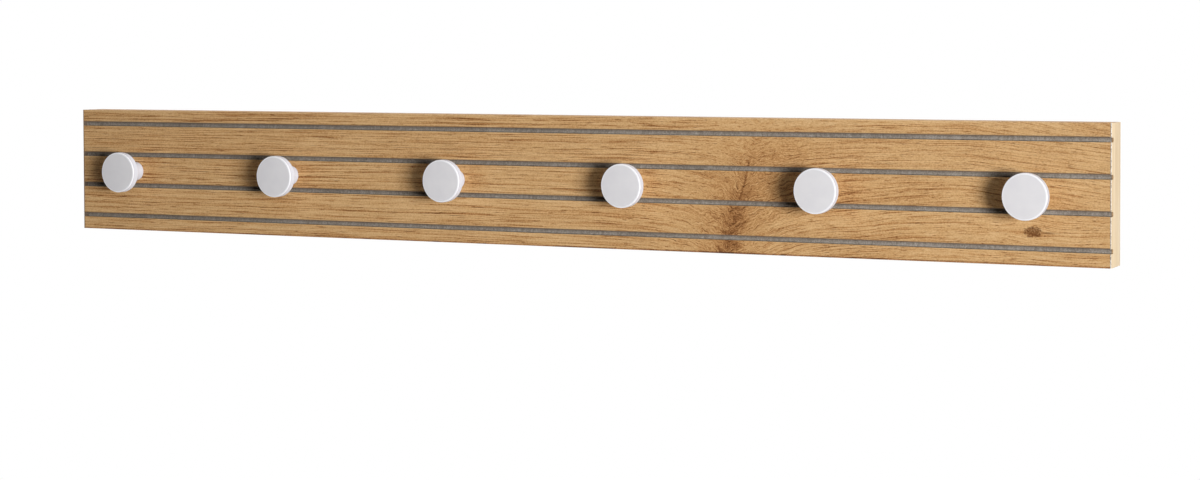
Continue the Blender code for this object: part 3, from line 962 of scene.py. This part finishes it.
def make_end_bands():
    """The left band closes the grooves, and the right one is cut with them."""
    closed = [(0.0, BOARD_BOTTOM), (0.0, BOARD_TOP), (FRONT_Y, BOARD_TOP), (FRONT_Y, BOARD_BOTTOM)]
    make_end_band("end_band_left", BOARD_LEFT, INNER_LEFT, closed)
    cut_through = grooved_section(0.0, FRONT_Y, BOARD_BOTTOM, BOARD_TOP)
    make_end_band("end_band_right", BOARD_RIGHT, INNER_RIGHT, cut_through)


def knob_hole(number):
    """The stepped hole through the board for a knob's screw, wide behind for the screw's head."""
    screw = f"knob_screw_{number}"
    x, z = axis_of(f"knob_{number}")
    wide = half_width(screw) + CLEARANCE
    narrow = KNOB_SCREW_SHANK_RADIUS + CLEARANCE
    step = OVERCUT - high(screw).y + KNOB_SCREW_HEAD_HEIGHT + CLEARANCE
    end = OVERCUT - FRONT_Y + OVERCUT
    profile = [(0.0, 0.0), (wide, 0.0), (wide, step), (narrow, step), (narrow, end), (0.0, end)]
    return turned(f"knob_hole_{number}", profile, SCREW_SEGMENTS, (x, OVERCUT, z), FORWARDS)


def plate_outline(node, margin):
    """A keyhole plate's outline as (X, Z), or with a margin that of the recess for it."""
    corner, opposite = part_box(node)
    radius = half_width(node)
    rise = (opposite.z - corner.z) / 2 - radius
    return obround(*axis_of(node), radius + margin, rise)


def make_core():
    """The grooved core, with the holes, recesses and pockets that its fittings need."""
    section = grooved_section(CORE_BACK, CORE_FRONT, INNER_BOTTOM, INNER_TOP)
    mesh = board_length("fibre_core", section)
    piece = make_piece("fibre_core", mesh, GREY_CORE, "core_board")
    cutters = [knob_hole(number) for number in KNOB_NUMBERS]
    for side in PLATE_SIDES:
        plate = f"keyhole_plate_{side}"
        seat = low(plate).y - CLEARANCE
        cutters.append(sheet_of(f"recess_{side}", [plate_outline(plate, CLEARANCE)], OVERCUT, seat))
        pocket = obround(*axis_of(plate), POCKET_RADIUS, KEYHOLE_TRAVEL / 2)
        cutters.append(sheet_of(f"pocket_{side}", [pocket], seat + OVERCUT, seat - POCKET_DEPTH))
        for level in PLATE_SCREW_LEVELS:
            screw = f"plate_screw_{side}_{level}"
            cutters.append(plate_screw_mesh(f"hole_{screw}", screw, CLEARANCE))
    carve(piece, cutters)
    shade_round(piece.data)


def make_back_sheet():
    """The balancing sheet, open at the knobs' screws and the keyhole plates."""
    outline = [
        (INNER_LEFT, INNER_BOTTOM),
        (INNER_RIGHT, INNER_BOTTOM),
        (INNER_RIGHT, INNER_TOP),
        (INNER_LEFT, INNER_TOP),
    ]
    loops = [outline]
    for number in KNOB_NUMBERS:
        loops.append(circle(*axis_of(f"knob_{number}"), half_width(f"knob_screw_{number}") + CLEARANCE))
    loops += [plate_outline(f"keyhole_plate_{side}", CLEARANCE) for side in PLATE_SIDES]
    mesh = sheet_of("paper_back", loops, 0.0, CORE_BACK + GLUE_LINE)
    make_piece("paper_back", mesh, BACK_PAPER, "back_sheet")


# Knobs


def knob_profile(length, radius, bore_end):
    """Half the knob's section: face, rim, coved back, neck, flared base and screw hole."""
    back = length - KNOB_RIM_WIDTH
    shoulder = radius - KNOB_BACK_RADIUS
    bore = KNOB_SCREW_SHANK_RADIUS + CLEARANCE
    face_centre = (radius - KNOB_FACE_RADIUS, length - KNOB_FACE_RADIUS)
    profile = [(0.0, length)]
    profile += arc(face_centre, KNOB_FACE_RADIUS, 90, 0, KNOB_FACE_STEPS)
    profile += arc((shoulder, back + KNOB_BACK_RADIUS), KNOB_BACK_RADIUS, 0, -90, CORNER_STEPS)
    for i in range(1, KNOB_COVE_STEPS + 1):
        turn = math.radians(90 * i / KNOB_COVE_STEPS)
        across = shoulder - (shoulder - KNOB_NECK_RADIUS) * math.sin(turn)
        profile.append((across, back - (back - KNOB_NECK_HEIGHT) * (1 - math.cos(turn))))
    for i in range(1, KNOB_FLARE_STEPS + 1):
        share = i / KNOB_FLARE_STEPS
        flare = KNOB_NECK_RADIUS + (KNOB_BASE_RADIUS - KNOB_NECK_RADIUS) * share ** 2
        profile.append((flare, KNOB_NECK_HEIGHT + (KNOB_BASE_LIP - KNOB_NECK_HEIGHT) * share))
    profile += [(KNOB_BASE_RADIUS, 0.0), (bore, 0.0), (bore, bore_end), (0.0, bore_end)]
    return profile


def make_knobs():
    for number in KNOB_NUMBERS:
        node = f"knob_{number}"
        corner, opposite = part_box(node)
        x, z = axis_of(node)
        bore_end = opposite.y - low(f"knob_screw_{number}").y + CLEARANCE
        profile = knob_profile(opposite.y - corner.y, half_width(node), bore_end)
        mesh = turned(f"white_{node}", profile, KNOB_SEGMENTS, (x, opposite.y, z), FORWARDS)
        shade_round(mesh, sharp_above=40)
        make_piece(f"white_{node}", mesh, WHITE_LACQUER, node)


# Fittings behind


def cross_recess(x, y, z, reach, depth):
    """The two tapered bars that cut a screw's cross recess from y inwards."""
    bars = []
    for turn in (45, 135):
        solid = bmesh.new()
        box = bmesh.ops.create_cube(solid, size=1.0)["verts"]
        bmesh.ops.scale(solid, vec=(2 * reach, 2 * depth, RECESS_BAR_WIDTH * reach), verts=box)
        for vert in box:
            if vert.co.y < 0:
                vert.co.x *= RECESS_BOTTOM_LENGTH
                vert.co.z *= RECESS_BOTTOM_WIDTH
        bmesh.ops.rotate(solid, matrix=Matrix.Rotation(math.radians(turn), 3, "Y"), verts=box)
        bmesh.ops.translate(solid, vec=(x, y, z), verts=box)
        bars.append(mesh_from(f"recess_bar_{turn}", solid))
    return bars


def make_knob_screws():
    """Pan-head screws with a cross recess, one behind each knob."""
    crown = KNOB_SCREW_HEAD_HEIGHT
    rounding = KNOB_SCREW_HEAD_ROUNDING
    shank = KNOB_SCREW_SHANK_RADIUS
    for number in KNOB_NUMBERS:
        node = f"knob_screw_{number}"
        corner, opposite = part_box(node)
        x, z = axis_of(f"knob_{number}")
        head = half_width(node)
        length = opposite.y - corner.y - crown
        profile = [(0.0, crown)]
        profile += arc((head - rounding, crown - rounding), rounding, 90, 0, CORNER_STEPS)
        profile += [(head, 0.0), (shank, 0.0)]
        profile += [(shank, shank / 2 - length), (shank / 2, -length), (0.0, -length)]
        mesh = turned(f"zinc_{node}", profile, SCREW_SEGMENTS, (x, opposite.y - crown, z), BACKWARDS)
        piece = make_piece(f"zinc_{node}", mesh, ZINC, node)
        carve(piece, cross_recess(x, opposite.y, z, *KNOB_SCREW_RECESS))
        shade_round(piece.data)


def plate_screw_mesh(name, node, grow):
    """A countersunk screw, or with room round it the hole for one."""
    corner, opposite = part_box(node)
    x, z = axis_of(node)
    head = PLATE_SCREW_HEAD_RADIUS + grow
    shank = PLATE_SCREW_SHANK_RADIUS + grow
    length = opposite.y - corner.y + grow
    rise = OVERCUT if grow else 0.0
    profile = [(0.0, rise), (head + rise, rise), (shank, shank - head)]
    profile += [(shank, PLATE_SCREW_TIP - length), (0.0, -length)]
    return turned(name, profile, SCREW_SEGMENTS, (x, opposite.y, z), BACKWARDS)


def make_plate_screw(node):
    mesh = plate_screw_mesh(f"zinc_{node}", node, 0.0)
    piece = make_piece(f"zinc_{node}", mesh, ZINC, node)
    x, z = axis_of(node)
    carve(piece, cross_recess(x, high(node).y, z, *PLATE_SCREW_RECESS))
    shade_round(piece.data)


def make_keyhole_plates():
    """The plates, rounded first, then sunk for their screws and punched with the keyhole."""
    for side in PLATE_SIDES:
        node = f"keyhole_plate_{side}"
        screws = [f"plate_screw_{side}_{level}" for level in PLATE_SCREW_LEVELS]
        corner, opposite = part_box(node)
        mesh = sheet_of(f"zinc_{node}", [plate_outline(node, 0.0)], opposite.y, corner.y)
        piece = make_piece(f"zinc_{node}", mesh, ZINC, node)
        soften(piece, METAL_EDGE)
        cutters = [plate_screw_mesh(f"sink_{screw}", screw, CLEARANCE) for screw in screws]
        hole = keyhole(*axis_of(node))
        cutters.append(sheet_of("punch", [hole], opposite.y + OVERCUT, corner.y - OVERCUT))
        carve(piece, cutters)
        shade_round(piece.data, sharp_above=15)
        for screw in screws:
            make_plate_screw(screw)


make_oak_strips()
make_edge_band("edge_band_top", INNER_TOP + GLUE_LINE, BOARD_TOP, OAK_TOP_EDGE)
make_edge_band("edge_band_bottom", INNER_BOTTOM - GLUE_LINE, BOARD_BOTTOM, OAK_BOTTOM_EDGE_SHADED)
make_end_bands()
make_core()
make_back_sheet()
make_knobs()
make_knob_screws()
make_keyhole_plates()


# Camera, fitted to the picture's 1200 by 480 frame
PICTURE_WIDTH = 1200
PICTURE_HEIGHT = 480
SENSOR_WIDTH = 36.0
FOCAL_PIXELS = 2094.1
CENTRE_PIXEL = (825.4, 114.7)
CAMERA_PLACE = (0.7235, -1.2800, 0.0878)
CAMERA_YAW = math.radians(22.216)
CAMERA_PITCH = math.radians(-1.678)
CLIP_START = 0.05


def make_camera():
    data = bpy.data.cameras.new("camera")
    data.sensor_width = SENSOR_WIDTH
    data.lens = FOCAL_PIXELS * SENSOR_WIDTH / PICTURE_WIDTH
    data.shift_x = (PICTURE_WIDTH / 2 - CENTRE_PIXEL[0]) / PICTURE_WIDTH
    data.shift_y = (CENTRE_PIXEL[1] - PICTURE_HEIGHT / 2) / PICTURE_WIDTH
    data.clip_start = CLIP_START
    camera = bpy.data.objects.new("camera", data)
    camera.location = CAMERA_PLACE
    camera.rotation_euler = (math.pi / 2 + CAMERA_PITCH, 0.0, CAMERA_YAW)
    scene.collection.objects.link(camera)
    scene.camera = camera


# Light: a wide low lamp to the right that faces past the rail, a weak one above, and a white surround
KEY_PLACE = (1.46, -1.27, 0.01)
KEY_AIM = (-0.38, -2.05, 0.01)
KEY_SIZE = (1.35, 0.46)
KEY_POWER = 78.0
TOP_PLACE = (0.10, -0.34, 1.50)
TOP_AIM = (0.05, -0.02, 0.0)
TOP_SIZE = (1.6, 0.6)
TOP_POWER = 6.4
SURROUND_BEHIND = 0.95
SURROUND_AHEAD = 0.004
SURROUND_TILT = 0.4
SURROUND_FULL_AT = 0.7
SURROUND_WHITE = 1.0


def make_lamp(name, place, aim, size, power):
    data = bpy.data.lights.new(name, "AREA")
    data.shape = "ELLIPSE"
    data.size, data.size_y = size
    data.energy = power
    lamp = bpy.data.objects.new(name, data)
    lamp.location = place
    lamp.rotation_euler = (Vector(aim) - Vector(place)).to_track_quat("-Z", "Y").to_euler()
    lamp.visible_camera = False
    scene.collection.objects.link(lamp)


def make_surround():
    """White to the eye and in reflections, and a soft light that comes mostly from behind and above."""
    world = bpy.data.worlds.new("surround")
    world.use_nodes = True
    scene.world = world
    graph = Graph(world.node_tree)
    _, back, up = graph.coordinates("Generated")
    tilted = graph.calc("MULTIPLY_ADD", up, SURROUND_TILT, back)
    level = graph.ramp(tilted, 0.0, SURROUND_FULL_AT, SURROUND_AHEAD, SURROUND_BEHIND)
    path = graph.add("LightPath")
    seen = path.outputs["Is Camera Ray"]
    for name in ("Is Glossy Ray", "Is Transmission Ray"):
        seen = graph.calc("MAXIMUM", seen, path.outputs[name])
    choose = graph.add("Mix", seen)
    choose.data_type = "FLOAT"
    graph.feed(choose.inputs[MIX_NUMBERS[0]], level)
    graph.feed(choose.inputs[MIX_NUMBERS[1]], SURROUND_WHITE)
    background = graph.nodes["Background"]
    background.inputs["Color"].default_value = (1.0, 1.0, 1.0, 1.0)
    graph.feed(background.inputs["Strength"], choose.outputs[0])


FLOOR_DROP = 1.5
FLOOR_RADIUS = 2.2
FLOOR_FADE_START = 0.6


def floor_material():
    """A pale floor that fades into the white surround towards its edge, clear from beneath."""
    graph = Surface("pale_floor")
    x, y, _ = graph.place()
    distance = graph.calc("SQRT", graph.total(graph.product(x, x), graph.product(y, y)))
    grain = graph.ramp(graph.noise((x, 60), (y, 60), 0.0, 3.0), -0.3, 0.3)
    graph.set(base_color=graph.mix(grain, srgb(242, 242, 242), srgb(246, 246, 246)))
    graph.set(roughness=0.9)
    clear = graph.add("BsdfTransparent").outputs[0]
    faded = graph.ramp(distance, MM * FLOOR_FADE_START, MM * FLOOR_RADIUS)
    fade = graph.add("MixShader", faded, graph.shader.outputs[0], clear)
    backfacing = graph.add("NewGeometry").outputs["Backfacing"]
    below = graph.add("MixShader", backfacing, fade.outputs[0], clear)
    graph.feed(graph.nodes["Material Output"].inputs["Surface"], below.outputs[0])
    return graph.material


def make_floor():
    """A round floor well below the rail."""
    disc = bmesh.new()
    bmesh.ops.create_circle(disc, cap_ends=True, segments=FLOOR_SEGMENTS, radius=FLOOR_RADIUS)
    mesh = bpy.data.meshes.new("floor")
    disc.to_mesh(mesh)
    disc.free()
    mesh.materials.append(floor_material())
    floor = bpy.data.objects.new("floor", mesh)
    floor.location = (0.0, 0.0, BOARD_BOTTOM - FLOOR_DROP)
    scene.collection.objects.link(floor)


make_camera()
make_lamp("key_lamp", KEY_PLACE, KEY_AIM, KEY_SIZE, KEY_POWER)
make_lamp("top_lamp", TOP_PLACE, TOP_AIM, TOP_SIZE, TOP_POWER)
make_surround()
make_floor()
scene.view_settings.view_transform = "Standard"
